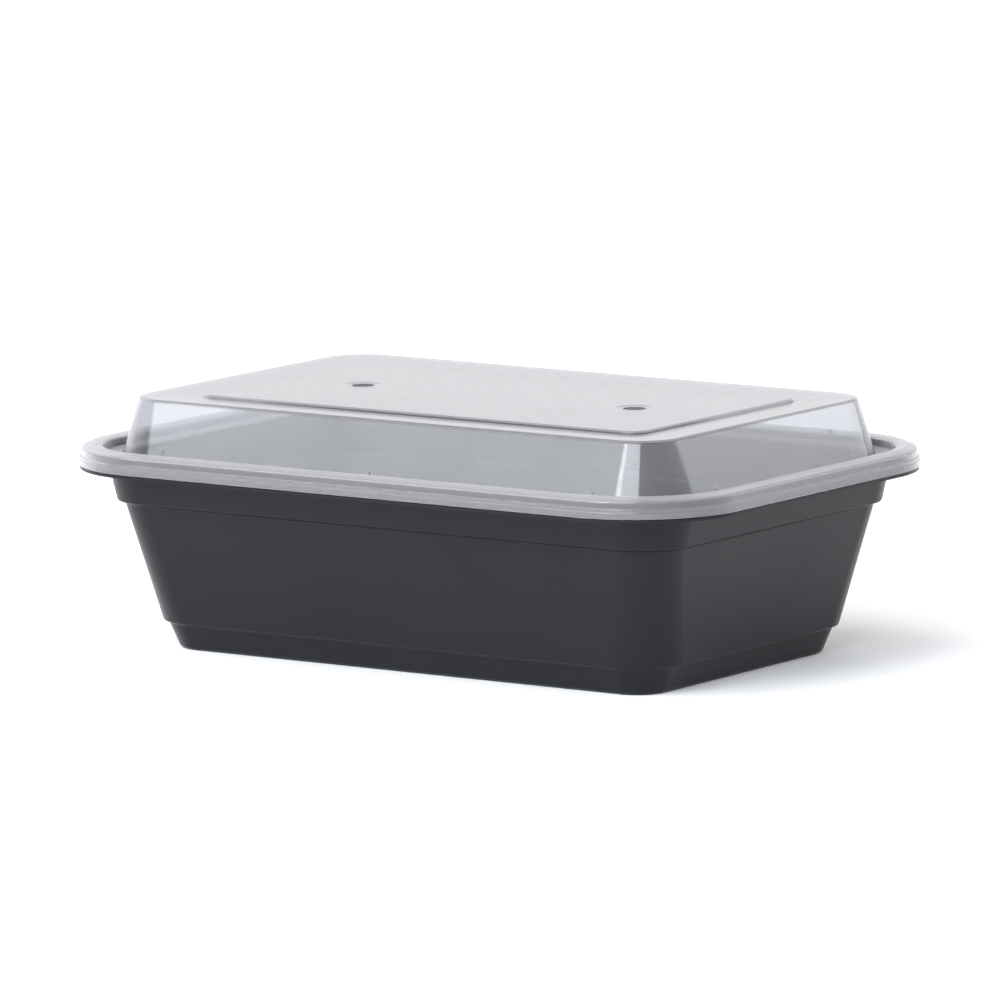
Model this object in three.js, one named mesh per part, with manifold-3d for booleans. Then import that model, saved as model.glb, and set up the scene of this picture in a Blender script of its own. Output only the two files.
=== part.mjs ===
// A takeaway meal container: a dark thin-walled tray with a clear domed lid clipped over its rim.
// Millimetres, +Z up. The origin is the middle of the base, on the surface the tray stands on.
// The long side runs along X. Both pieces are shells of rounded rectangles, so every level is
// told by its inset, which is how far it lies inside the lid's outer edge seen from above.
import * as THREE from 'three';
import Module from 'manifold-3d';

const wasm = await Module();
wasm.setup();

// Driving dimensions
const LENGTH = 222.2;
const WIDTH = 150.5;
const HEIGHT = 73.9;
const TRAY_WALL = 0.8;
const LID_WALL = 0.7;

// Corner radii seen from above. The rim's corners shrink with the inset, so its width is even.
const LIP_CORNER = 33;
const TRAY_MIDDLE_CORNER = 4;
const FOOT_CORNER = 9.6;
const FOOT_TOP_CORNER = 11.6;
const WALL_BOTTOM_CORNER = 15.8;
const WALL_TOP_CORNER = 13.5;
const BAND_BOTTOM_CORNER = 14.6;
const BAND_TOP_CORNER = 16.8;
const DOME_TOP_CORNER = 12.4;
const PANEL_CORNER = 6;
const LID_MIDDLE_CORNER = 3;
const CORNER_STEPS = 8;
const ARC_STEPS = 2;

// Tray levels
const FOOT_INSET = 27.2;
const FOOT_TOP = 7.6;
const LOWER_STEP_INSET = 21.9;
const LOWER_STEP_IN = 2.4;
const LOWER_STEP_RISE = 0.7;
const UPPER_STEP_TOP = 43.8;
const UPPER_STEP_INSET = 13.1;
const UPPER_STEP_IN = 1.95;
const UPPER_STEP_RISE = 0.8;
const BAND_INSET = 10.6;
const LEDGE_UNDERSIDE = 55.4;
const FLANGE_UNDERSIDE = 53.15;
const FLANGE_EDGE_INSET = 0.3;
const RIM_BEAD_TOP = 58.6;
const RIM_BEAD_INNER = 5.1;
const RIM_BEAD_OUTER = 2.9;

// Lid levels
const LIP_BOTTOM = 54.25;
const LIP_GROOVE = 55.95;
const LIP_GROOVE_DEPTH = 0.25;
const LIP_RIDGE = 56.8;
const LID_BAND_INSET = 0.65;
const LID_BEAD_CREST = 60.3;
const LID_BEAD_SHOULDER = 59.3;
const LID_BEAD_DIP = 0.6;
const LID_BEAD_INNER = 7.1;
const CHANNEL_FLOOR = 57.3;
const DOME_FOOT_INSET = 12.85;
const DOME_TOP_INSET = 18.7;
const DOME_EDGE = 73.8;
const PANEL_FOOT = 73.05;
const PANEL_FOOT_INSET = 33.5;
const PANEL_STEP_WIDTH = 0.9;

// Vents in the lid's panel, each in a shallow round dish
const VENT_X = 47.7;
const VENT_RADIUS = 3.3;
const DISH_RADIUS = 5.6;
const DISH_SLOPE = 1;
const DISH_DEPTH = 0.35;
const VENT_SIDES = 24;

// Small stacking nubs on the inner side of the lid's bead
const NUB_RADIUS = 0.6;
const NUB_TOP = 60.9;
const NUB_BOTTOM = 57;
const NUB_INSET = 7.6;
const NUB_SIDES = 8;
const NUBS_ON_FRONT = [-70.1, 2.9, 79.4];
const NUBS_ON_RIGHT = [-41.6, 27.8];

// A rounded rectangle of points, anticlockwise from above, at one inset and height
function ring(inset, z, radius) {
  const halfLength = LENGTH / 2 - inset;
  const halfWidth = WIDTH / 2 - inset;
  const points = [];
  for (let corner = 0; corner < 4; corner += 1) {
    const sideX = corner === 0 || corner === 3 ? 1 : -1;
    const sideY = corner < 2 ? 1 : -1;
    for (let step = 0; step <= CORNER_STEPS; step += 1) {
      const angle = (corner + step / CORNER_STEPS) * Math.PI / 2;
      const x = sideX * (halfLength - radius) + radius * Math.cos(angle);
      const y = sideY * (halfWidth - radius) + radius * Math.sin(angle);
      points.push([x, y, z]);
    }
  }
  return points;
}

function rimCorner(inset) {
  return LIP_CORNER - inset;
}

// The profile's corners moved sideways by the wall thickness, each segment staying parallel.
// In a section of the +X side the other face lies to the left of the way the profile runs.
function movedAside(corners, wall) {
  const normals = [];
  for (let i = 0; i + 1 < corners.length; i += 1) {
    const across = corners[i + 1].inset - corners[i].inset;
    const up = corners[i + 1].z - corners[i].z;
    const length = Math.hypot(across, up);
    normals.push([up / length, -across / length]);
  }
  return corners.map((corner, i) => {
    const before = normals[Math.max(i - 1, 0)];
    const after = normals[Math.min(i, normals.length - 1)];
    const scale = wall / (1 + before[0] * after[0] + before[1] * after[1]);
    const inset = corner.inset + (before[0] + after[0]) * scale;
    const z = corner.z + (before[1] + after[1]) * scale;
    const turn = before[0] * after[1] - before[1] * after[0];
    const bend = corner.bend ? Math.max(corner.bend + Math.sign(turn) * wall, 0) : 0;
    return { inset, z, bend, round: corner.round - (inset - corner.inset) };
  });
}

// The same profile with each corner rounded to its own bend radius. The radius seen from above
// is carried along as a third coordinate, so that it changes evenly between the corners.
function softened(corners, arcSteps) {
  const path = [];
  corners.forEach((corner, i) => {
    const here = new THREE.Vector3(corner.inset, corner.z, corner.round);
    if (!corner.bend || i === 0 || i === corners.length - 1) {
      path.push(here);
      return;
    }
    const [before, after] = [corners[i - 1], corners[i + 1]];
    const back = new THREE.Vector2(before.inset - corner.inset, before.z - corner.z);
    const onward = new THREE.Vector2(after.inset - corner.inset, after.z - corner.z);
    const halfAngle = back.angleTo(onward) / 2;
    const reach = corner.bend / Math.tan(halfAngle);
    const last = new THREE.Vector3(before.inset, before.z, before.round);
    const next = new THREE.Vector3(after.inset, after.z, after.round);
    const start = here.clone().lerp(last, reach / back.length());
    const end = here.clone().lerp(next, reach / onward.length());
    path.push(...new THREE.QuadraticBezierCurve3(start, here, end).getPoints(arcSteps));
  });
  return path;
}

// A closed shell: out from the middle along the face that looks down, and back from the edge
// to the middle along the face that looks up, with a flat middle on each
function shell(downFace, upFace) {
  const rings = [...downFace, ...upFace].map((level) => ring(level.x, level.y, level.z));
  const perRing = rings[0].length;
  const lastRing = (rings.length - 1) * perRing;
  const firstMiddle = rings.length * perRing;
  const lastMiddle = firstMiddle + 1;
  const positions = rings.flat(2);
  positions.push(0, 0, downFace[0].y);
  positions.push(0, 0, upFace[upFace.length - 1].y);
  const triangles = [];
  for (let i = 0; i < perRing; i += 1) {
    const next = (i + 1) % perRing;
    for (let low = 0; low < lastRing; low += perRing) {
      const high = low + perRing;
      triangles.push(low + i, low + next, high + next);
      triangles.push(low + i, high + next, high + i);
    }
    triangles.push(firstMiddle, next, i);
    triangles.push(lastMiddle, lastRing + i, lastRing + next);
  }
  return solid(positions, triangles);
}

function solid(positions, triangles) {
  const mesh = new wasm.Mesh({
    numProp: 3,
    vertProperties: new Float32Array(positions),
    triVerts: new Uint32Array(triangles),
  });
  mesh.merge();
  return new wasm.Manifold(mesh);
}

// An upright round post or plug with its axis along Z
function post(topRadius, bottomRadius, bottom, top, x, y, sides) {
  const geometry = new THREE.CylinderGeometry(topRadius, bottomRadius, top - bottom, sides);
  geometry.rotateX(Math.PI / 2);
  geometry.translate(x, y, (top + bottom) / 2);
  geometry.deleteAttribute('normal');
  geometry.deleteAttribute('uv');
  return solid(geometry.attributes.position.array, geometry.index.array);
}

function meshOf(manifold, name, material) {
  const result = manifold.getMesh();
  const geometry = new THREE.BufferGeometry();
  geometry.setAttribute('position', new THREE.BufferAttribute(result.vertProperties, 3));
  geometry.setIndex(new THREE.BufferAttribute(result.triVerts, 1));
  geometry.computeVertexNormals();
  const mesh = new THREE.Mesh(geometry, material);
  mesh.name = name;
  return mesh;
}

// The dark tray: foot, lower step, tapered wall, upper step, band, ledge, hollow bead and flange
function tray() {
  const wallTop = UPPER_STEP_INSET + UPPER_STEP_IN;
  const beadUnderside = RIM_BEAD_TOP - TRAY_WALL;
  const beadShoulder = RIM_BEAD_OUTER + 0.3;
  const profile = [
    { inset: FOOT_INSET + 8, z: 0, round: TRAY_MIDDLE_CORNER },
    { inset: FOOT_INSET, z: 0, round: FOOT_CORNER, bend: 2 },
    { inset: LOWER_STEP_INSET + LOWER_STEP_IN, z: FOOT_TOP, round: FOOT_TOP_CORNER, bend: 0.9 },
    { inset: LOWER_STEP_INSET, z: FOOT_TOP + LOWER_STEP_RISE, round: WALL_BOTTOM_CORNER, bend: 0.9 },
    { inset: wallTop, z: UPPER_STEP_TOP - UPPER_STEP_RISE, round: WALL_TOP_CORNER, bend: 0.8 },
    { inset: UPPER_STEP_INSET, z: UPPER_STEP_TOP, round: BAND_BOTTOM_CORNER, bend: 0.8 },
    { inset: BAND_INSET, z: LEDGE_UNDERSIDE, round: BAND_TOP_CORNER, bend: 0.5 },
    { inset: RIM_BEAD_INNER, z: LEDGE_UNDERSIDE, round: rimCorner(RIM_BEAD_INNER) },
    { inset: RIM_BEAD_INNER, z: beadUnderside, round: rimCorner(RIM_BEAD_INNER), bend: 0.7 },
    { inset: beadShoulder, z: beadUnderside, round: rimCorner(beadShoulder), bend: 0.7 },
    { inset: RIM_BEAD_OUTER, z: FLANGE_UNDERSIDE, round: rimCorner(RIM_BEAD_OUTER) },
    { inset: FLANGE_EDGE_INSET, z: FLANGE_UNDERSIDE, round: rimCorner(FLANGE_EDGE_INSET) },
  ];
  const underside = softened(profile, ARC_STEPS);
  const inside = softened(movedAside(profile, TRAY_WALL), ARC_STEPS).reverse();
  return shell(underside, inside);
}

// The clear lid: raised panel, dished border, domed wall, channel, rounded bead and flared lip
function lid() {
  const rim = [
    { inset: 0, z: LIP_BOTTOM },
    { inset: 0, z: LIP_GROOVE, bend: 0.1 },
    { inset: LIP_GROOVE_DEPTH, z: LIP_GROOVE + 0.25, bend: 0.1 },
    { inset: 0.1, z: LIP_RIDGE, bend: 0.2 },
    { inset: LID_BAND_INSET, z: LIP_RIDGE + 0.4, bend: 0.2 },
    { inset: LID_BAND_INSET + 0.2, z: LID_BEAD_SHOULDER, bend: 1.2 },
    { inset: (LID_BAND_INSET + LID_BEAD_INNER) / 2, z: LID_BEAD_CREST, bend: 3 },
    { inset: LID_BEAD_INNER, z: LID_BEAD_CREST - LID_BEAD_DIP, bend: 1.1 },
    { inset: LID_BEAD_INNER + 0.5, z: CHANNEL_FLOOR, bend: 0.8 },
    { inset: DOME_FOOT_INSET, z: CHANNEL_FLOOR, bend: 0.9 },
  ];
  const panelInset = PANEL_FOOT_INSET + PANEL_STEP_WIDTH;
  const profile = [
    ...rim.map((corner) => ({ ...corner, round: rimCorner(corner.inset) })),
    { inset: DOME_TOP_INSET, z: DOME_EDGE, round: DOME_TOP_CORNER, bend: 1.3 },
    { inset: PANEL_FOOT_INSET, z: PANEL_FOOT, round: PANEL_CORNER, bend: 0.3 },
    { inset: panelInset, z: HEIGHT, round: PANEL_CORNER - PANEL_STEP_WIDTH, bend: 0.8 },
    { inset: panelInset + 4, z: HEIGHT, round: LID_MIDDLE_CORNER },
  ];
  const inside = softened(movedAside(profile, LID_WALL), ARC_STEPS).reverse();
  let body = shell(inside, softened(profile, ARC_STEPS));
  for (const [x, y] of nubPlaces()) {
    body = body.add(post(NUB_RADIUS * 0.7, NUB_RADIUS, NUB_BOTTOM, NUB_TOP, x, y, NUB_SIDES));
  }
  for (const x of [-VENT_X, VENT_X]) {
    body = vented(body, x);
  }
  return body;
}

// A shallow round dish in the panel, as thin as the rest, with the vent's hole in its floor
function vented(body, x) {
  const floor = HEIGHT - DISH_DEPTH;
  const above = HEIGHT + DISH_SLOPE;
  const below = floor - LID_WALL;
  const narrow = DISH_RADIUS - DISH_SLOPE;
  const wide = narrow + DISH_SLOPE * (above - floor) / DISH_DEPTH;
  const backing = post(DISH_RADIUS, DISH_RADIUS, below, floor, x, 0, VENT_SIDES);
  const dish = post(wide, narrow, floor, above, x, 0, VENT_SIDES);
  const hole = post(VENT_RADIUS, VENT_RADIUS, below - 1, above, x, 0, VENT_SIDES);
  return body.add(backing).subtract(dish).subtract(hole);
}

// The nubs stand against the bead's inner side, three along each long side and two along each
// end. The back and the left end repeat the front and the right one turned by half a circle.
function nubPlaces() {
  const sideY = WIDTH / 2 - NUB_INSET;
  const sideX = LENGTH / 2 - NUB_INSET;
  const places = [];
  for (const sign of [-1, 1]) {
    NUBS_ON_FRONT.forEach((x) => places.push([sign * x, -sign * sideY]));
    NUBS_ON_RIGHT.forEach((y) => places.push([sign * sideX, sign * y]));
  }
  return places;
}

const trayPlastic = new THREE.MeshStandardMaterial({
  color: 0x303236,
  roughness: 0.42,
  metalness: 0,
});
const lidPlastic = new THREE.MeshStandardMaterial({
  color: 0xe4e4e8,
  roughness: 0.22,
  metalness: 0,
  transparent: true,
  opacity: 0.45,
});

const container = new THREE.Group();
container.add(meshOf(tray(), 'tray', trayPlastic));
container.add(meshOf(lid(), 'lid', lidPlastic));

export default container;
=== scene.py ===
# %% [markdown]
# # A takeaway meal container
#
# This lesson dresses a takeaway meal container: a dark moulded tray with a clear domed lid that clips
# over its rim. The construction is already there as a plain frame of two solids. Here each one gets a
# finer shape and the finish of real plastic. The frame sets every outer size, so the script reads its
# sizes first and works the rest out from them.

# %% Load the frame
import math
from typing import NamedTuple

import bpy
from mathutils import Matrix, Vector


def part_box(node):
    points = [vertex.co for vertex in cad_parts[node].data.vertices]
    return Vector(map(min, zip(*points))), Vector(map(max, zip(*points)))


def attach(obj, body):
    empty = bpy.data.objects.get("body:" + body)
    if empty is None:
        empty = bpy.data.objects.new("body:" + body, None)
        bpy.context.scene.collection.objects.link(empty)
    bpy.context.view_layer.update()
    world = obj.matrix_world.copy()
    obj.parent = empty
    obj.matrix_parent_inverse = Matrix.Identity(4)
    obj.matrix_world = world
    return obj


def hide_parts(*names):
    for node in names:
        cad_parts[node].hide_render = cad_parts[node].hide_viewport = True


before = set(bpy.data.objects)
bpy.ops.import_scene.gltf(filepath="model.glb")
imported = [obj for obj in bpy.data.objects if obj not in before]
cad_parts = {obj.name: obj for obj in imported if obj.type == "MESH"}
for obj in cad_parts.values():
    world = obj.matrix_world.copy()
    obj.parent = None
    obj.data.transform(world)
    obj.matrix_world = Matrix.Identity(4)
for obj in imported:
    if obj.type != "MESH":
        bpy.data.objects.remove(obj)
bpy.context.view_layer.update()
scene = bpy.context.scene
print("frame nodes:", sorted(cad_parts))

# %% [markdown]
# ## Sizes
#
# Moulded trays and lids are drawn as a cross-section that is carried round a rounded rectangle. Every
# level of such a part lies some way inside the lid's outer edge, and that distance is its inset. Insets
# and heights are in millimetres, as a mould maker writes them, and one number turns them to metres. The
# length, the width and the heights of the two parts come from the frame.

# %% Sizes from the frame
MM = 0.001
tray_low, tray_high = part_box("tray")
lid_low, lid_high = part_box("lid")
LENGTH = (lid_high.x - lid_low.x) / MM
WIDTH = (lid_high.y - lid_low.y) / MM
HEIGHT = lid_high.z / MM
LIP_BOTTOM = lid_low.z / MM
RIM_BEAD_TOP = tray_high.z / MM

print("lid outline:", round(LENGTH, 1), "by", round(WIDTH, 1), "mm, lip bottom at", round(LIP_BOTTOM, 2))

# %% [markdown]
# ## From a cross-section to rings
#
# A cross-section is a short list of corners. Each has an inset, a height, the radius it is bent to, and
# the radius of the rounded rectangle at that level, seen from above. The last number, shade, is painted
# shade: a tight bend in clear plastic works as a lens and looks dark, and the material paints that
# darkness into the plastic's colour, as strong as shade says. The other face of the wall is the same list
# moved sideways by the wall thickness, so the wall stays even round every bend. Drawing both faces this
# way, instead of thickening one of them with a modifier, keeps the tight inner bends from folding over
# themselves.

# %% Two faces of one wall
BEND_STEPS = 6


class Corner(NamedTuple):
    """One corner of a cross-section, in millimetres"""
    inset: float
    height: float
    bend: float = 0
    radius: float = 0
    # painted shade: how dark the material paints this bend, standing in for the dark look of its lens
    shade: float = 0


def other_face(corners, wall):
    """The corners moved by the wall thickness, to the left of the profile in a section of the +X side"""
    normals = []
    for here, following in zip(corners, corners[1:]):
        across, up = following.inset - here.inset, following.height - here.height
        length = math.hypot(across, up)
        normals.append((up / length, -across / length))
    moved = []
    for place, corner in enumerate(corners):
        before = normals[max(place - 1, 0)]
        after = normals[min(place, len(normals) - 1)]
        reach = wall / (1 + before[0] * after[0] + before[1] * after[1])
        inwards = (before[0] + after[0]) * reach
        upwards = (before[1] + after[1]) * reach
        turn = before[0] * after[1] - before[1] * after[0]
        moved.append(corner._replace(
            inset=corner.inset + inwards,
            height=corner.height + upwards,
            bend=max(corner.bend + math.copysign(wall, turn), 0) if corner.bend else 0,
            radius=corner.radius - inwards,
        ))
    return moved


def bent(corners):
    """The profile's points, with an arc at each corner that has a bend"""
    points = []
    for place, corner in enumerate(corners):
        here = Vector((corner.inset, corner.height, corner.radius, corner.shade))
        if not corner.bend or place in (0, len(corners) - 1):
            points.append(here)
            continue
        neighbours = (corners[place - 1], corners[place + 1])
        last, following = [Vector((other.inset, other.height, other.radius, 0)) for other in neighbours]
        here.w = 0
        back, onward = last - here, following - here
        reach = corner.bend / math.tan(back.xy.angle(onward.xy) / 2)
        start = here.lerp(last, reach / back.xy.length)
        end = here.lerp(following, reach / onward.xy.length)
        for step in range(BEND_STEPS + 1):
            share = step / BEND_STEPS
            point = start.lerp(here, share).lerp(here.lerp(end, share), share)
            # the painted shade is strongest in the middle of the bend and fades out at its ends
            point.w = corner.shade * math.sin(math.pi * share)
            points.append(point)
    return points


print("each bend is drawn in", BEND_STEPS, "steps")

# %% [markdown]
# ## Rings and bridges
#
# On screen one would add a plane, scale it, round its corners with a vertex bevel and delete its face.
# That leaves a ring of edges. The next ring is made the same way, and Bridge Edge Loops fills the strip
# between them. Each ring goes into a vertex group, so that two neighbours can be picked again without
# hunting for them by eye. Bridge takes its direction from one ring's middle to the next one's, and two
# rings at one height give it none. So the rings are first stacked well apart, like a paper lantern that
# is pulled open, and each goes to its real height when all the bridges are there.

# %% Helpers for edit mode
def deselect_all():
    """Leaves no object selected, so that the next operator acts on nothing old"""
    bpy.ops.object.select_all(action="DESELECT")


def start_mesh(name):
    """A new empty mesh object in edit mode"""
    deselect_all()
    bpy.ops.mesh.primitive_plane_add(size=1)
    piece = bpy.context.object
    piece.name = name
    piece.data.name = name
    bpy.ops.object.mode_set(mode="EDIT")
    bpy.ops.mesh.select_mode(type="VERT")
    bpy.ops.mesh.select_all(action="SELECT")
    bpy.ops.mesh.delete(type="VERT")
    return piece


def remember(piece, name, shade):
    """Puts the selected vertices into a group of their own, with the level's painted shade as their weight
    """
    scene.tool_settings.vertex_group_weight = shade
    piece.vertex_groups.active = piece.vertex_groups.new(name=name)
    bpy.ops.object.vertex_group_assign()


def pick(piece, *names):
    """Selects only the vertices of these groups"""
    bpy.ops.mesh.select_all(action="DESELECT")
    for name in names:
        piece.vertex_groups.active = piece.vertex_groups[name]
        bpy.ops.object.vertex_group_select()


# %% A ring and a stack of rings
CORNER_SEGMENTS = 14
STACK_SPACING = 20


def rounded_ring(piece, name, inset, height, radius, shade):
    """One level of a part: a plane with bevelled corners whose face is deleted"""
    middle = (0, 0, height * MM)
    sides = ((LENGTH - 2 * inset) * MM, (WIDTH - 2 * inset) * MM, 1)
    bpy.ops.mesh.select_all(action="DESELECT")
    bpy.ops.mesh.primitive_plane_add(size=1, location=middle)
    bpy.ops.transform.resize(value=sides, center_override=middle)
    bpy.ops.mesh.bevel(offset=radius * MM, segments=CORNER_SEGMENTS, affect="VERTICES")
    remember(piece, name, shade)
    bpy.ops.mesh.delete(type="ONLY_FACE")


def loft(piece, word, points, make_ring):
    """Stacks a ring for every point, bridges each to the one before, and closes the stack up"""
    names = [f"{word}{place}" for place in range(len(points))]
    for place, (across, _, radius, shade) in enumerate(points):
        make_ring(piece, names[place], across, place * STACK_SPACING, radius, shade)
        if place:
            pick(piece, names[place - 1], names[place])
            bpy.ops.mesh.bridge_edge_loops()
    for place, (_, height, _, _) in enumerate(points):
        pick(piece, names[place])
        bpy.ops.transform.translate(value=(0, 0, (height - place * STACK_SPACING) * MM))
    return names[0], names[-1]


print("each corner of a ring has", CORNER_SEGMENTS, "segments")

# %% [markdown]
# A finished stack has its doubles merged and its normals turned outwards. The painted shade of each
# level goes from its vertex group into an attribute, which a material can read. Bends look round where
# faces meet at less than 30 degrees. On their own, smooth normals would bend the light on the large flats
# too, so a Weighted Normal modifier lets the flats decide.

# %% Finish a mesh
MERGE_DISTANCE = 0.01
SMOOTH_ANGLE = 30


def finish_mesh(piece):
    """Closes edit mode with clean outward normals and smooth bends"""
    bpy.ops.mesh.select_all(action="SELECT")
    bpy.ops.mesh.remove_doubles(threshold=MERGE_DISTANCE * MM)
    bpy.ops.mesh.normals_make_consistent(inside=False)
    bpy.ops.object.mode_set(mode="OBJECT")
    # the painted shade of each vertex, read from the weights of its vertex groups
    shades = [sum(group.weight for group in vertex.groups) for vertex in piece.data.vertices]
    piece.data.attributes.new("shade", "FLOAT", "POINT").data.foreach_set("value", shades)
    piece.vertex_groups.clear()
    bpy.ops.object.shade_smooth_by_angle(angle=math.radians(SMOOTH_ANGLE))
    print(piece.name, "has", len(piece.data.polygons), "faces")


def flatten_flats(piece):
    """Lets the large flat faces decide the shading, so that only the bends look round"""
    weighting = piece.modifiers.new("flats", "WEIGHTED_NORMAL")
    weighting.keep_sharp = True
    bpy.ops.object.modifier_apply(modifier=weighting.name)


print("doubles are merged within", MERGE_DISTANCE, "mm")

# %% [markdown]
# ## The tray
#
# The tray is one even wall of dark plastic. It stands on a small foot, steps out, rises in a long taper,
# steps out again to a nearly upright band, and ends in a ledge, a hollow bead and a flat flange. The
# steps stop stacked trays from jamming and stiffen the thin wall. Seen from above, its corners are
# tighter at the foot than at the rim, so each level has a corner radius of its own.

# %% The tray's sizes in mm
TRAY_WALL = 0.8
UNDERSIDE_MARGIN = 8
UNDERSIDE_CORNER = 4
FOOT_INSET = 27.2
FOOT_TOP = 7.6
FOOT_BEND = 2
FOOT_CORNER = 9.6
LOWER_STEP_INSET = 21.9
LOWER_STEP_IN = 2.4
LOWER_STEP_RISE = 0.7
LOWER_STEP_BEND = 0.9
LOWER_STEP_CORNERS = (11.6, 15.8)
UPPER_STEP_TOP = 43.8
UPPER_STEP_INSET = 13.1
UPPER_STEP_IN = 1.95
UPPER_STEP_RISE = 0.8
UPPER_STEP_BEND = 0.8
UPPER_STEP_CORNERS = (13.5, 14.6)
BAND_INSET = 10.6
BAND_CORNER = 16.8
LEDGE_UNDERSIDE = 55.4
LEDGE_BEND = 0.5
RIM_BEAD_INNER = 5.1
RIM_BEAD_OUTER = 2.9
RIM_BEAD_SLOPE = 0.3
RIM_BEAD_BEND = 0.7
FLANGE_UNDERSIDE = 53.15
FLANGE_EDGE_INSET = 0.3
print("the tray's foot is", round(LENGTH - 2 * FOOT_INSET, 1), "mm long")

# %% [markdown]
# The profile starts in the middle of the underside and runs out and up along the outer face. The inner
# face comes back the same way. Round the rim the bead, the flange and the lid keep an even width, which
# gives each of their levels a corner radius that shrinks with its inset.

# %% The tray's cross-section
LIP_CORNER = 33


def rim_corner(inset):
    """The corner radius of a level of the rim"""
    return LIP_CORNER - inset


bead_underside = RIM_BEAD_TOP - TRAY_WALL
bead_shoulder = RIM_BEAD_OUTER + RIM_BEAD_SLOPE
lower_step_foot = LOWER_STEP_INSET + LOWER_STEP_IN
lower_step_top = FOOT_TOP + LOWER_STEP_RISE
upper_step_foot = UPPER_STEP_INSET + UPPER_STEP_IN
upper_step_underside = UPPER_STEP_TOP - UPPER_STEP_RISE
tray_profile = [
    Corner(FOOT_INSET + UNDERSIDE_MARGIN, 0, radius=UNDERSIDE_CORNER),
    Corner(FOOT_INSET, 0, FOOT_BEND, FOOT_CORNER),
    Corner(lower_step_foot, FOOT_TOP, LOWER_STEP_BEND, LOWER_STEP_CORNERS[0]),
    Corner(LOWER_STEP_INSET, lower_step_top, LOWER_STEP_BEND, LOWER_STEP_CORNERS[1]),
    Corner(upper_step_foot, upper_step_underside, UPPER_STEP_BEND, UPPER_STEP_CORNERS[0]),
    Corner(UPPER_STEP_INSET, UPPER_STEP_TOP, UPPER_STEP_BEND, UPPER_STEP_CORNERS[1]),
    Corner(BAND_INSET, LEDGE_UNDERSIDE, LEDGE_BEND, BAND_CORNER),
    Corner(RIM_BEAD_INNER, LEDGE_UNDERSIDE, radius=rim_corner(RIM_BEAD_INNER)),
    Corner(RIM_BEAD_INNER, bead_underside, RIM_BEAD_BEND, rim_corner(RIM_BEAD_INNER)),
    Corner(bead_shoulder, bead_underside, RIM_BEAD_BEND, rim_corner(bead_shoulder)),
    Corner(RIM_BEAD_OUTER, FLANGE_UNDERSIDE, radius=rim_corner(RIM_BEAD_OUTER)),
    Corner(FLANGE_EDGE_INSET, FLANGE_UNDERSIDE, radius=rim_corner(FLANGE_EDGE_INSET)),
]
tray_points = bent(tray_profile) + bent(other_face(tray_profile, TRAY_WALL))[::-1]
print("the tray's wall is drawn with", len(tray_points), "rings")

# %% Model the tray
tray = start_mesh("tray_shell")
first, last = loft(tray, "level", tray_points, rounded_ring)
for end in (first, last):
    pick(tray, end)
    bpy.ops.mesh.edge_face_add()
finish_mesh(tray)
flatten_flats(tray)
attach(tray, "root")
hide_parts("tray")

# %% [markdown]
# ## The lid's rim
#
# The lid is thinner and clear. From its outer edge inwards it has an upright lip with a groove and a
# ridge, an upright band, a rounded bead that sits over the tray's bead, and a channel at the foot of the
# dome. The profile starts at the bottom of the lip and runs up and in along the outside.

# %% The lid's rim in mm
LIP_GROOVE = 55.95
LIP_GROOVE_DEPTH = 0.25
LIP_GROOVE_RISE = 0.25
LIP_GROOVE_BEND = 0.1
LIP_RIDGE = 56.8
LIP_RIDGE_INSET = 0.1
LIP_RIDGE_RISE = 0.4
LIP_RIDGE_BEND = 0.2
LID_BAND_INSET = 0.65
LID_BAND_SLOPE = 0.2
LID_BEAD_SHOULDER = 59.3
LID_BEAD_SHOULDER_BEND = 1.2
LID_BEAD_CREST = 60.3
LID_BEAD_CREST_BEND = 3
LID_BEAD_DIP = 0.6
LID_BEAD_INNER = 7.1
LID_BEAD_INNER_BEND = 1.1
LID_BEAD_INNER_SLOPE = 0.5
CHANNEL_FLOOR = 57.3
CHANNEL_BENDS = (0.8, 0.9)
# painted shade on the channel's two bends, which darkens the channel floor
CHANNEL_SHADES = (0.7, 0.5)
DOME_FOOT_INSET = 12.85

crest_inset = (LID_BAND_INSET + LID_BEAD_INNER) / 2
channel_inset = LID_BEAD_INNER + LID_BEAD_INNER_SLOPE
lid_rim = [
    Corner(0, LIP_BOTTOM),
    Corner(0, LIP_GROOVE, LIP_GROOVE_BEND),
    Corner(LIP_GROOVE_DEPTH, LIP_GROOVE + LIP_GROOVE_RISE, LIP_GROOVE_BEND),
    Corner(LIP_RIDGE_INSET, LIP_RIDGE, LIP_RIDGE_BEND),
    Corner(LID_BAND_INSET, LIP_RIDGE + LIP_RIDGE_RISE, LIP_RIDGE_BEND),
    Corner(LID_BAND_INSET + LID_BAND_SLOPE, LID_BEAD_SHOULDER, LID_BEAD_SHOULDER_BEND),
    Corner(crest_inset, LID_BEAD_CREST, LID_BEAD_CREST_BEND),
    Corner(LID_BEAD_INNER, LID_BEAD_CREST - LID_BEAD_DIP, LID_BEAD_INNER_BEND),
    Corner(channel_inset, CHANNEL_FLOOR, CHANNEL_BENDS[0], shade=CHANNEL_SHADES[0]),
    Corner(DOME_FOOT_INSET, CHANNEL_FLOOR, CHANNEL_BENDS[1], shade=CHANNEL_SHADES[1]),
]
lid_rim = [corner._replace(radius=rim_corner(corner.inset)) for corner in lid_rim]
print("the lid's bead is", round(LID_BEAD_INNER - LID_BAND_INSET, 2), "mm wide")
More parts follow.
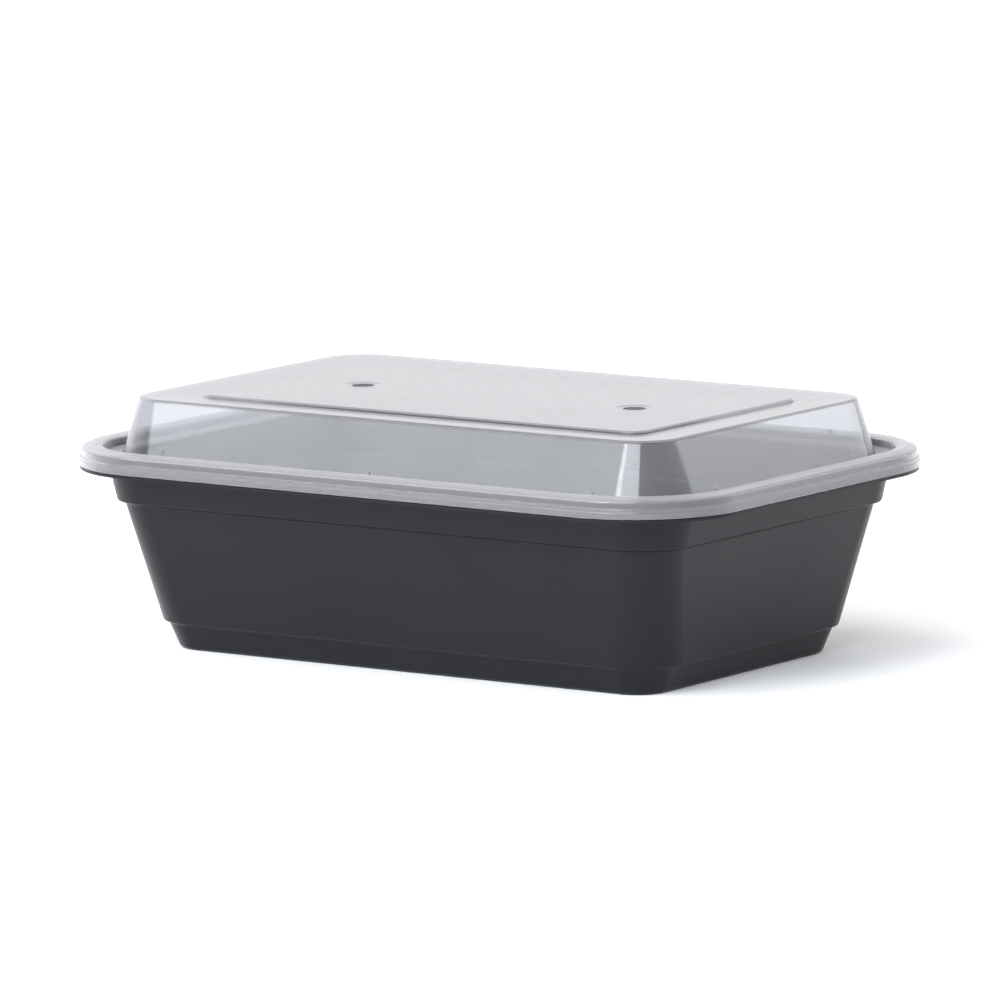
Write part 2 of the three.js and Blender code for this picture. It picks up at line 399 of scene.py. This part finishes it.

# %% [markdown]
# ## The lid's dome and panel
#
# The dome's wall slants in to a crisp edge. Behind the edge lies a shallow border that slopes down a
# little, and a low step lifts the panel inside it. The step's foot is the tightest bend of the lid and
# works as a lens, so a dark line of painted shade runs round the panel. The dome's edge and the panel's
# edge get lighter painted shade. Two extra rings beside the foot keep that line thin.

# %% The lid's dome and panel in mm
LID_WALL = 0.7
DOME_TOP_INSET = 18.7
DOME_EDGE = 73.8
DOME_EDGE_BEND = 1.3
# painted shade on the dome's edge
DOME_EDGE_SHADE = 0.35
DOME_CORNER = 12.4
PANEL_FOOT = 73.05
PANEL_FOOT_INSET = 33.5
# painted shade for the dark line at the panel's foot
PANEL_FOOT_SHADE = 0.85
PANEL_CORNER = 6
LINE_WIDTH = 0.3
LINE_OUTER_RISE = 0.01
LINE_INNER_RISE = 0.28
# painted shade on the step just inside the foot
LINE_INNER_SHADE = 0.3
PANEL_STEP_WIDTH = 0.9
PANEL_EDGE_BEND = 0.5
# painted shade on the panel's edge
PANEL_EDGE_SHADE = 0.15
PANEL_MARGIN = 4
PANEL_MARGIN_CORNER = 3

line_outer = PANEL_FOOT_INSET - LINE_WIDTH
line_inner = PANEL_FOOT_INSET + LINE_WIDTH
panel_inset = PANEL_FOOT_INSET + PANEL_STEP_WIDTH
panel_edge_corner = PANEL_CORNER - PANEL_STEP_WIDTH
line_inner_height = PANEL_FOOT + LINE_INNER_RISE
line_inner_corner = PANEL_CORNER - LINE_WIDTH
lid_profile = lid_rim + [
    Corner(DOME_TOP_INSET, DOME_EDGE, DOME_EDGE_BEND, DOME_CORNER, DOME_EDGE_SHADE),
    Corner(line_outer, PANEL_FOOT + LINE_OUTER_RISE, radius=PANEL_CORNER + LINE_WIDTH),
    Corner(PANEL_FOOT_INSET, PANEL_FOOT, radius=PANEL_CORNER, shade=PANEL_FOOT_SHADE),
    Corner(line_inner, line_inner_height, radius=line_inner_corner, shade=LINE_INNER_SHADE),
    Corner(panel_inset, HEIGHT, PANEL_EDGE_BEND, panel_edge_corner, PANEL_EDGE_SHADE),
    Corner(panel_inset + PANEL_MARGIN, HEIGHT, radius=PANEL_MARGIN_CORNER),
]
lid_points = bent(other_face(lid_profile, LID_WALL))[::-1] + bent(lid_profile)
print("the lid's wall is drawn with", len(lid_points), "rings")

# %% [markdown]
# ## Vents
#
# Two round vents let steam out. Each sits in a shallow dish in the panel. A dish is made like the rest,
# with circles for rings: down the dish, in to the hole, down a short collar that stiffens it, and back
# along the underside. The hole's own wall and the collar get full painted shade, because one looks at
# them edge on and clear plastic seen that way looks dark. The flat of the panel is then filled between
# its outline and the two outermost circles.

# %% The vents' own profile in mm
VENT_X = 47.7
VENT_RADIUS = 3.3
VENT_EDGE = 0.3
# painted shade on the hole's wall and the collar
VENT_SHADE = 1
COLLAR_HEIGHT = 1.2
COLLAR_WALL = 0.6
DISH_RADIUS = 5.6
DISH_SLOPE = 1
DISH_DEPTH = 0.35
DISH_MARGIN = 0.6
DISH_BEND = 0.5
UNDERSIDE_SHIFT = 0.3
UNDERSIDE_BEND = 0.3

dish_floor = HEIGHT - DISH_DEPTH
dish_foot = DISH_RADIUS - DISH_SLOPE
collar_end = dish_floor - COLLAR_HEIGHT
collar_radius = VENT_RADIUS + COLLAR_WALL
dish_profile = [
    Corner(DISH_RADIUS + DISH_MARGIN, HEIGHT),
    Corner(DISH_RADIUS, HEIGHT, DISH_BEND),
    Corner(dish_foot, dish_floor, DISH_BEND),
    Corner(VENT_RADIUS + VENT_EDGE, dish_floor),
    Corner(VENT_RADIUS, dish_floor, shade=VENT_SHADE),
    Corner(VENT_RADIUS, collar_end, shade=VENT_SHADE),
    Corner(collar_radius, collar_end, shade=VENT_SHADE),
    Corner(collar_radius, dish_floor - LID_WALL),
    Corner(dish_foot + UNDERSIDE_SHIFT, dish_floor - LID_WALL, UNDERSIDE_BEND),
    Corner(DISH_RADIUS + UNDERSIDE_SHIFT, HEIGHT - LID_WALL, DISH_BEND),
    Corner(DISH_RADIUS + DISH_MARGIN, HEIGHT - LID_WALL),
]
dish_points = bent(dish_profile)
print("each vent is", 2 * VENT_RADIUS, "mm wide and drawn with", len(dish_points), "rings")

# %% A ring maker for the vents
VENT_SEGMENTS = 48


def vent_ring(middle_x):
    """Gives a ring maker for one vent"""
    def circle(piece, name, radius, height, _, shade):
        bpy.ops.mesh.select_all(action="DESELECT")
        bpy.ops.mesh.primitive_circle_add(
            vertices=VENT_SEGMENTS,
            radius=radius * MM,
            location=(middle_x * MM, 0, height * MM),
        )
        remember(piece, name, shade)
    return circle


# %% Model the lid
lid = start_mesh("lid_shell")
underside, outside = loft(lid, "level", lid_points, rounded_ring)
top_outlines = [outside]
underside_outlines = [underside]
for word, middle_x in (("left_vent", -VENT_X), ("right_vent", VENT_X)):
    top_circle, underside_circle = loft(lid, word, dish_points, vent_ring(middle_x))
    top_outlines.append(top_circle)
    underside_outlines.append(underside_circle)
for outlines in (top_outlines, underside_outlines):
    pick(lid, *outlines)
    bpy.ops.mesh.fill()
finish_mesh(lid)

# %% [markdown]
# ## Stacking nubs
#
# Small round nubs stand against the inner side of the lid's bead, three along each long side and two
# along each end. They keep stacked lids from sticking. One nub is a cylinder with bevelled edges, and
# the nubs of the back and the left side are those of the front and the right side, turned half round.

# %% Model the nubs
NUB_RADIUS = 0.6
NUB_TOP = 60.9
NUB_BOTTOM = 57
NUB_INSET = 7.6
NUB_SEGMENTS = 20
NUB_BEVEL = 0.3
NUB_BEVEL_STEPS = 3
NUBS_ON_FRONT = (-70.1, 2.9, 79.4)
NUBS_ON_RIGHT = (-41.6, 27.8)

nub_x = LENGTH / 2 - NUB_INSET
nub_y = WIDTH / 2 - NUB_INSET
nub_places = [(side * x, -side * nub_y) for side in (-1, 1) for x in NUBS_ON_FRONT]
nub_places += [(side * nub_x, side * y) for side in (-1, 1) for y in NUBS_ON_RIGHT]
nubs = start_mesh("nubs")
for x, y in nub_places:
    bpy.ops.mesh.select_all(action="DESELECT")
    bpy.ops.mesh.primitive_cylinder_add(
        vertices=NUB_SEGMENTS,
        radius=NUB_RADIUS * MM,
        depth=(NUB_TOP - NUB_BOTTOM) * MM,
        location=(x * MM, y * MM, (NUB_TOP + NUB_BOTTOM) / 2 * MM),
    )
    bpy.ops.mesh.bevel(offset=NUB_BEVEL * MM, segments=NUB_BEVEL_STEPS, affect="EDGES", clamp_overlap=True)
finish_mesh(nubs)

# %% [markdown]
# A Boolean union joins the nubs to the lid, so that the lid stays one closed skin. The union leaves new
# edges behind, so the smoothing and the weighted normals come after it.

# %% Join the nubs to the lid
deselect_all()
bpy.context.view_layer.objects.active = lid
lid.select_set(True)
union = lid.modifiers.new("nubs", "BOOLEAN")
union.operation = "UNION"
union.solver = "EXACT"
union.object = nubs
bpy.ops.object.modifier_apply(modifier=union.name)
bpy.data.objects.remove(nubs)
bpy.ops.object.shade_smooth_by_angle(angle=math.radians(SMOOTH_ANGLE))
flatten_flats(lid)
print("lid with nubs:", len(lid.data.polygons), "faces")

# %% [markdown]
# ## Where the lid is milky
#
# The walls of the lid are clear. Its bead and lip look milky, because one looks through their ribs the
# long way, and so do the tops of the nubs. An attribute, one number for each vertex, carries this to the
# material: 1 where the plastic looks milky and 0 elsewhere. How far inside the outline a vertex lies is
# measured as on the rim itself, round the middle of its corner.

# %% Mark the milky rim
MILKY_WIDTH = 5

milkiness = []
for vertex in lid.data.vertices:
    across = max(abs(vertex.co.x) / MM - (LENGTH / 2 - LIP_CORNER), 0)
    along = max(abs(vertex.co.y) / MM - (WIDTH / 2 - LIP_CORNER), 0)
    inset = LIP_CORNER - math.hypot(across, along)
    on_nub = inset < DOME_FOOT_INSET and vertex.co.z / MM > LID_BEAD_CREST
    milkiness.append(1.0 if inset < MILKY_WIDTH or on_nub else 0.0)
lid.data.attributes.new("rim", "FLOAT", "POINT").data.foreach_set("value", milkiness)
print("milky vertices:", int(sum(milkiness)), "of", len(milkiness))
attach(lid, "root")
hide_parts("lid")

# %% [markdown]
# ## Colours and nodes
#
# Colours are written as the hex values a picture editor shows, and one function turns them into the
# linear values that a shader mixes. Another small function adds a node with its settings and links, so
# each material below reads as a list of what it is made from.

# %% Material helpers
def colour(code):
    """An sRGB hex code as linear red, green, blue and alpha"""
    channels = [int(code[start:start + 2], 16) / 255 for start in (0, 2, 4)]
    linear = [c / 12.92 if c <= 0.04045 else ((c + 0.055) / 1.055) ** 2.4 for c in channels]
    return (*linear, 1)


def add_node(tree, kind, inputs=None, **settings):
    """Adds one node, sets its options, and fills or links its inputs"""
    made = tree.nodes.new(kind)
    for name, value in settings.items():
        setattr(made, name, value)
    for name, value in (inputs or {}).items():
        if isinstance(value, bpy.types.NodeSocket):
            tree.links.new(value, made.inputs[name])
        else:
            made.inputs[name].default_value = value
    return made


def new_material(name):
    """A material with an empty node tree"""
    material = bpy.data.materials.new(name)
    material.use_nodes = True
    material.node_tree.nodes.clear()
    return material, material.node_tree


def pattern_scale(size):
    """The scale that makes one feature of a noise about this many millimetres wide"""
    return 1 / (size * MM)


print("white is", colour("ffffff"))

# %% [markdown]
# ## Dark injection-moulded polypropylene
#
# The tray is polypropylene with carbon black, shot into a steel mould. Its mould face is finely spark
# eroded, which leaves a satin skin: soft reflections, a faint grain and slow waves where the wall sank a
# little as it cooled. The real grain is about a tenth of a millimetre wide, which no picture of the
# whole container shows, so it is drawn at nearly half a millimetre. The IOR of polypropylene is 1.49.

# %% Tray plastic: patterns
TONE_SIZE = 28
GRAIN_SIZE = 0.45
SINK_SIZE = 34
NOISE_MIDDLE = (0.3, 0.7)
TRAY_ROUGHNESS = (0.30, 0.38)

tray_plastic, tree = new_material("black_moulded_polypropylene")
place = add_node(tree, "ShaderNodeTexCoord").outputs["Object"]
tone = add_node(
    tree,
    "ShaderNodeTexNoise",
    {"Vector": place, "Scale": pattern_scale(TONE_SIZE), "Detail": 3.0},
)
grain = add_node(
    tree,
    "ShaderNodeTexNoise",
    {"Vector": place, "Scale": pattern_scale(GRAIN_SIZE), "Detail": 2.0},
)
waves = add_node(
    tree,
    "ShaderNodeTexNoise",
    {"Vector": place, "Scale": pattern_scale(SINK_SIZE), "Detail": 0.0},
)
tint = add_node(
    tree,
    "ShaderNodeMix",
    {"Factor": tone.outputs["Fac"], "A": colour("101216"), "B": colour("16181d")},
    data_type="RGBA",
)
satin = add_node(
    tree,
    "ShaderNodeMapRange",
    {
        "Value": tone.outputs["Fac"],
        "From Min": NOISE_MIDDLE[0],
        "From Max": NOISE_MIDDLE[1],
        "To Min": TRAY_ROUGHNESS[0],
        "To Max": TRAY_ROUGHNESS[1],
    },
)
print("tray patterns in mm:", TONE_SIZE, GRAIN_SIZE, SINK_SIZE)

# %% Tray plastic: skin
sink = add_node(
    tree,
    "ShaderNodeBump",
    {"Height": waves.outputs["Fac"], "Strength": 0.12, "Distance": 0.002},
)
skin = add_node(
    tree,
    "ShaderNodeBump",
    {"Height": grain.outputs["Fac"], "Strength": 0.1, "Distance": 0.0001, "Normal": sink.outputs["Normal"]},
)
shell = add_node(
    tree,
    "ShaderNodeBsdfPrincipled",
    {
        "Base Color": tint.outputs["Result"],
        "Roughness": satin.outputs["Result"],
        "IOR": 1.49,
        "Specular IOR Level": 0.23,
        "Normal": skin.outputs["Normal"],
    },
)
add_node(tree, "ShaderNodeOutputMaterial", {"Surface": shell.outputs["BSDF"]})
tray.data.materials.clear()
tray.data.materials.append(tray_plastic)
print("tray finish:", tray_plastic.name)

# %% [markdown]
# ## Clear polypropylene
#
# The lid is the same plastic without the black. Its walls are clear with only a breath of haze, its rim
# is milky, and its tight bends work as lenses and look dark. Glass with refraction could draw all this,
# but a thin wall hardly bends what is seen through it, so a film on each face is enough and much
# quicker: part of it lets the view through, part of it is milk that catches light from both sides, and
# on top lies a sheen that gets stronger towards grazing angles. The dark bends are not drawn by
# refraction: they are painted shade in the film's colours.
#
# The first step is how much milk there is. It grows from the wall to the rim, and also where one looks
# along the wall, through more plastic.

# %% Lid plastic: milk
WALL_HAZE = (0.04, 0.07)
RIM_HAZE = 0.18
GRAZING_HAZE = 0.9
GRAZING_HAZE_POWER = 3.0
FLOW_SIZE = 22

lid_plastic, tree = new_material("clear_moulded_polypropylene")
place = add_node(tree, "ShaderNodeTexCoord").outputs["Object"]
facing = add_node(tree, "ShaderNodeLayerWeight", {"Blend": 0.5}).outputs["Facing"]
flow = add_node(
    tree,
    "ShaderNodeTexNoise",
    {"Vector": place, "Scale": pattern_scale(FLOW_SIZE), "Detail": 3.0},
)
rim = add_node(tree, "ShaderNodeAttribute", attribute_name="rim").outputs["Fac"]
wall_haze = add_node(
    tree,
    "ShaderNodeMapRange",
    {
        "Value": flow.outputs["Fac"],
        "From Min": NOISE_MIDDLE[0],
        "From Max": NOISE_MIDDLE[1],
        "To Min": WALL_HAZE[0],
        "To Max": WALL_HAZE[1],
    },
)
haze = add_node(
    tree,
    "ShaderNodeMapRange",
    {"Value": rim, "To Min": wall_haze.outputs["Result"], "To Max": RIM_HAZE},
)
grazing_haze = add_node(tree, "ShaderNodeMath", {0: facing, 1: GRAZING_HAZE_POWER}, operation="POWER")
milk_share = add_node(
    tree,
    "ShaderNodeMath",
    {0: grazing_haze.outputs["Value"], 1: GRAZING_HAZE, 2: haze.outputs["Result"]},
    operation="MULTIPLY_ADD",
    use_clamp=True,
)
print("haze of the lid's wall:", WALL_HAZE, "and of its rim:", RIM_HAZE)

# %% [markdown]
# Next comes the painted shade. A tight bend in clear plastic bends the light away and looks dark, and
# here the film's colours are darkened instead. The shade of each bend is in the lid's attribute. Where
# one looks almost exactly along the plastic, at an outline, the colours are darkened in the same way.
# Both colours of the film are mixed by that one number.

# %% Lid plastic: painted shade of the bends
OUTLINE_SHADE = 0.9
OUTLINE_POWER = 14.0

# the painted shade of each bend, read from the lid's attribute
bend = add_node(tree, "ShaderNodeAttribute", attribute_name="shade").outputs["Fac"]
outline = add_node(tree, "ShaderNodeMath", {0: facing, 1: OUTLINE_POWER}, operation="POWER")
# all painted shade together: at the bends and along the outlines
lens = add_node(
    tree,
    "ShaderNodeMath",
    {0: outline.outputs["Value"], 1: OUTLINE_SHADE, 2: bend},
    operation="MULTIPLY_ADD",
    use_clamp=True,
)
# the milk's own pale lavender, darkened towards grey by the painted shade
milk_tint_and_painted_shade = add_node(
    tree,
    "ShaderNodeMix",
    {"Factor": lens.outputs["Value"], "A": colour("e0dbe1"), "B": colour("77797e")},
    data_type="RGBA",
)
# the clear film's own colour, darkened towards grey by the painted shade
clear_tint_and_painted_shade = add_node(
    tree,
    "ShaderNodeMix",
    {"Factor": lens.outputs["Value"], "A": colour("ecedee"), "B": colour("9a9ba0")},
    data_type="RGBA",
)
print("nodes so far:", len(tree.nodes))

# %% [markdown]
# The film and its sheen go together last. Seen head on, polypropylene mirrors about 4 per cent of the
# light, and at grazing angles nearly all of it. The mould's face is polished, with a faint ripple.

# %% Lid plastic: film and sheen
RIPPLE_SIZE = 18
SHEEN_ROUGHNESS = 0.13
SHEEN_HEAD_ON = 0.039
SHEEN_POWER = 5.0

ripple = add_node(
    tree,
    "ShaderNodeTexNoise",
    {"Vector": place, "Scale": pattern_scale(RIPPLE_SIZE), "Detail": 1.0},
)
sink = add_node(
    tree,
    "ShaderNodeBump",
    {"Height": ripple.outputs["Fac"], "Strength": 0.015, "Distance": 0.002},
)
scattered = add_node(
    tree,
    "ShaderNodeBsdfDiffuse",
    {"Color": milk_tint_and_painted_shade.outputs["Result"], "Roughness": 0.0, "Normal": sink.outputs["Normal"]},
)
carried = add_node(
    tree,
    "ShaderNodeBsdfTranslucent",
    {"Color": milk_tint_and_painted_shade.outputs["Result"], "Normal": sink.outputs["Normal"]},
)
milk = add_node(
    tree,
    "ShaderNodeMixShader",
    {0: 0.5, 1: scattered.outputs["BSDF"], 2: carried.outputs["BSDF"]},
)
clear = add_node(tree, "ShaderNodeBsdfTransparent", {"Color": clear_tint_and_painted_shade.outputs["Result"]})
film = add_node(
    tree,
    "ShaderNodeMixShader",
    {0: milk_share.outputs["Value"], 1: clear.outputs["BSDF"], 2: milk.outputs["Shader"]},
)
grazing = add_node(tree, "ShaderNodeMath", {0: facing, 1: SHEEN_POWER}, operation="POWER")
sheen_share = add_node(
    tree,
    "ShaderNodeMapRange",
    {"Value": grazing.outputs["Value"], "To Min": SHEEN_HEAD_ON, "To Max": 1.0},
)
sheen = add_node(
    tree,
    "ShaderNodeBsdfAnisotropic",
    {"Color": (1, 1, 1, 1), "Roughness": SHEEN_ROUGHNESS, "Normal": sink.outputs["Normal"]},
)
surface = add_node(
    tree,
    "ShaderNodeMixShader",
    {0: sheen_share.outputs["Result"], 1: film.outputs["Shader"], 2: sheen.outputs["BSDF"]},
)
add_node(tree, "ShaderNodeOutputMaterial", {"Surface": surface.outputs["Shader"]})
lid.data.materials.clear()
lid.data.materials.append(lid_plastic)
print("lid finish:", lid_plastic.name)

# %% [markdown]
# ## Floor
#
# The container stands on a wide pale floor of matt paint, far larger than the picture, so that no edge
# of it shows.

# %% Floor
FLOOR_SIZE = 12

bpy.ops.mesh.primitive_plane_add(size=FLOOR_SIZE, location=(0, 0, 0))
floor = bpy.context.object
floor.name = "floor"
floor_paint, tree = new_material("pale_floor")
paint = add_node(tree, "ShaderNodeBsdfPrincipled", {"Base Color": colour("f7f7f7"), "Roughness": 0.9})
add_node(tree, "ShaderNodeOutputMaterial", {"Surface": paint.outputs["BSDF"]})
floor.data.materials.append(floor_paint)
print("floor:", FLOOR_SIZE, "m wide")

# %% [markdown]
# ## Lights
#
# Clear plastic is lit by what it mirrors. Five soft panels stand round the container, each where one
# part of the lid shows it: a small one for the streak on the near corner, a brighter one for the front
# wall, one for the bend next to the streak, one for the right wall, and one on the left for the rim.
# They are wide and low, because a flat top seen from a low angle mirrors what stands near the horizon,
# and would turn white where it met a tall panel. Angles are in degrees round from the front and up.

# %% Soft panels
LIGHT_AIM = 0.05
LAMP_COLOUR = colour("f4f9ff")[:3]


def soft_panel(name, azimuth, elevation, distance, size, power):
    """An area light that looks at the middle of the container"""
    turn, tilt = math.radians(azimuth), math.radians(elevation)
    place = (
        distance * math.sin(turn) * math.cos(tilt),
        -distance * math.cos(turn) * math.cos(tilt),
        LIGHT_AIM + distance * math.sin(tilt),
    )
    bpy.ops.object.light_add(type="AREA", location=place, rotation=(math.pi / 2 - tilt, 0, turn))
    panel = bpy.context.object
    panel.name = name
    panel.data.shape = "RECTANGLE"
    panel.data.size, panel.data.size_y = size
    panel.data.energy = power
    panel.data.color = LAMP_COLOUR
    print(name, "at", [round(value, 2) for value in place], "with", power, "W")


soft_panel("streak_panel", azimuth=14, elevation=31, distance=1.3, size=(0.85, 0.5), power=11)
soft_panel("front_panel", azimuth=-24, elevation=28, distance=1.5, size=(1.3, 0.75), power=16)
soft_panel("left_panel", azimuth=-85, elevation=31, distance=1.5, size=(2.2, 0.5), power=3.2)
soft_panel("right_panel", azimuth=87, elevation=28, distance=1.5, size=(3.2, 0.6), power=9)
soft_panel("back_panel", azimuth=147, elevation=14, distance=1.5, size=(0.7, 0.5), power=3)

# %% [markdown]
# A very soft sun stands in for the ceiling light, and leaves the faint shadow on the floor. The room
# itself is white. It is a little brighter towards the back left, which the lid's flat top mirrors, than
# towards the camera, which the tray's walls mirror.

# %% Ceiling light
CEILING_TILT = 28
CEILING_TURN = -30
CEILING_STRENGTH = 1.3
CEILING_SPREAD = 50

bpy.ops.object.light_add(type="SUN", rotation=(math.radians(CEILING_TILT), 0, math.radians(CEILING_TURN)))
ceiling = bpy.context.object
ceiling.name = "ceiling_light"
ceiling.data.energy = CEILING_STRENGTH
ceiling.data.angle = math.radians(CEILING_SPREAD)
print("lights:", len(bpy.data.lights))

# %% White room
BRIGHT_SIDE = (-0.57, 0.82, 0.0)
ROOM_SPAN = (-0.6, 0.9)
ROOM_GLOW = (0.45, 0.9)

room = bpy.data.worlds.new("white_room")
scene.world = room
room.use_nodes = True
tree = room.node_tree
tree.nodes.clear()
direction = add_node(tree, "ShaderNodeTexCoord").outputs["Generated"]
towards_back = add_node(
    tree,
    "ShaderNodeVectorMath",
    {0: direction, 1: BRIGHT_SIDE},
    operation="DOT_PRODUCT",
)
strength = add_node(
    tree,
    "ShaderNodeMapRange",
    {
        "Value": towards_back.outputs["Value"],
        "From Min": ROOM_SPAN[0],
        "From Max": ROOM_SPAN[1],
        "To Min": ROOM_GLOW[0],
        "To Max": ROOM_GLOW[1],
    },
)
glow = add_node(
    tree,
    "ShaderNodeBackground",
    {"Color": (1, 1, 1, 1), "Strength": strength.outputs["Result"]},
)
add_node(tree, "ShaderNodeOutputWorld", {"Surface": glow.outputs["Background"]})
print("room brightness from", ROOM_GLOW[0], "to", ROOM_GLOW[1])

# %% [markdown]
# ## Camera
#
# The photograph was taken from some way off with a long lens, which keeps the long sides almost
# parallel. The angles and the distance below were worked out from the straight edges of the container.

# %% Camera
CAMERA_AZIMUTH = 35.07
CAMERA_ELEVATION = 8.5
CAMERA_ROLL = -0.65
CAMERA_DISTANCE = 3.01
CAMERA_REACH = 50
SENSOR_WIDTH = 36
FOCAL_PIXELS = 10442
IMAGE_PIXELS = 1000
AIM_HEIGHT = 43.5
AIM_SIDE = 0.4

turn, tilt = math.radians(CAMERA_AZIMUTH), math.radians(CAMERA_ELEVATION)
camera_data = bpy.data.cameras.new("camera")
camera_data.sensor_width = SENSOR_WIDTH
camera_data.lens = SENSOR_WIDTH * FOCAL_PIXELS / IMAGE_PIXELS
camera_data.clip_end = CAMERA_REACH
camera = bpy.data.objects.new("camera", camera_data)
scene.collection.objects.link(camera)
camera.location = (
    CAMERA_DISTANCE * math.sin(turn) * math.cos(tilt) + AIM_SIDE * MM * math.cos(turn),
    -CAMERA_DISTANCE * math.cos(turn) * math.cos(tilt) + AIM_SIDE * MM * math.sin(turn),
    CAMERA_DISTANCE * math.sin(tilt) + AIM_HEIGHT * MM,
)
camera.rotation_mode = "XYZ"
camera.rotation_euler = (math.pi / 2 - tilt, 0, turn)
camera.rotation_euler.rotate_axis("Z", math.radians(CAMERA_ROLL))
scene.camera = camera
scene.view_settings.view_transform = "Standard"
print("camera lens:", round(camera_data.lens, 1), "mm")

# %% Finish
bpy.context.view_layer.update()
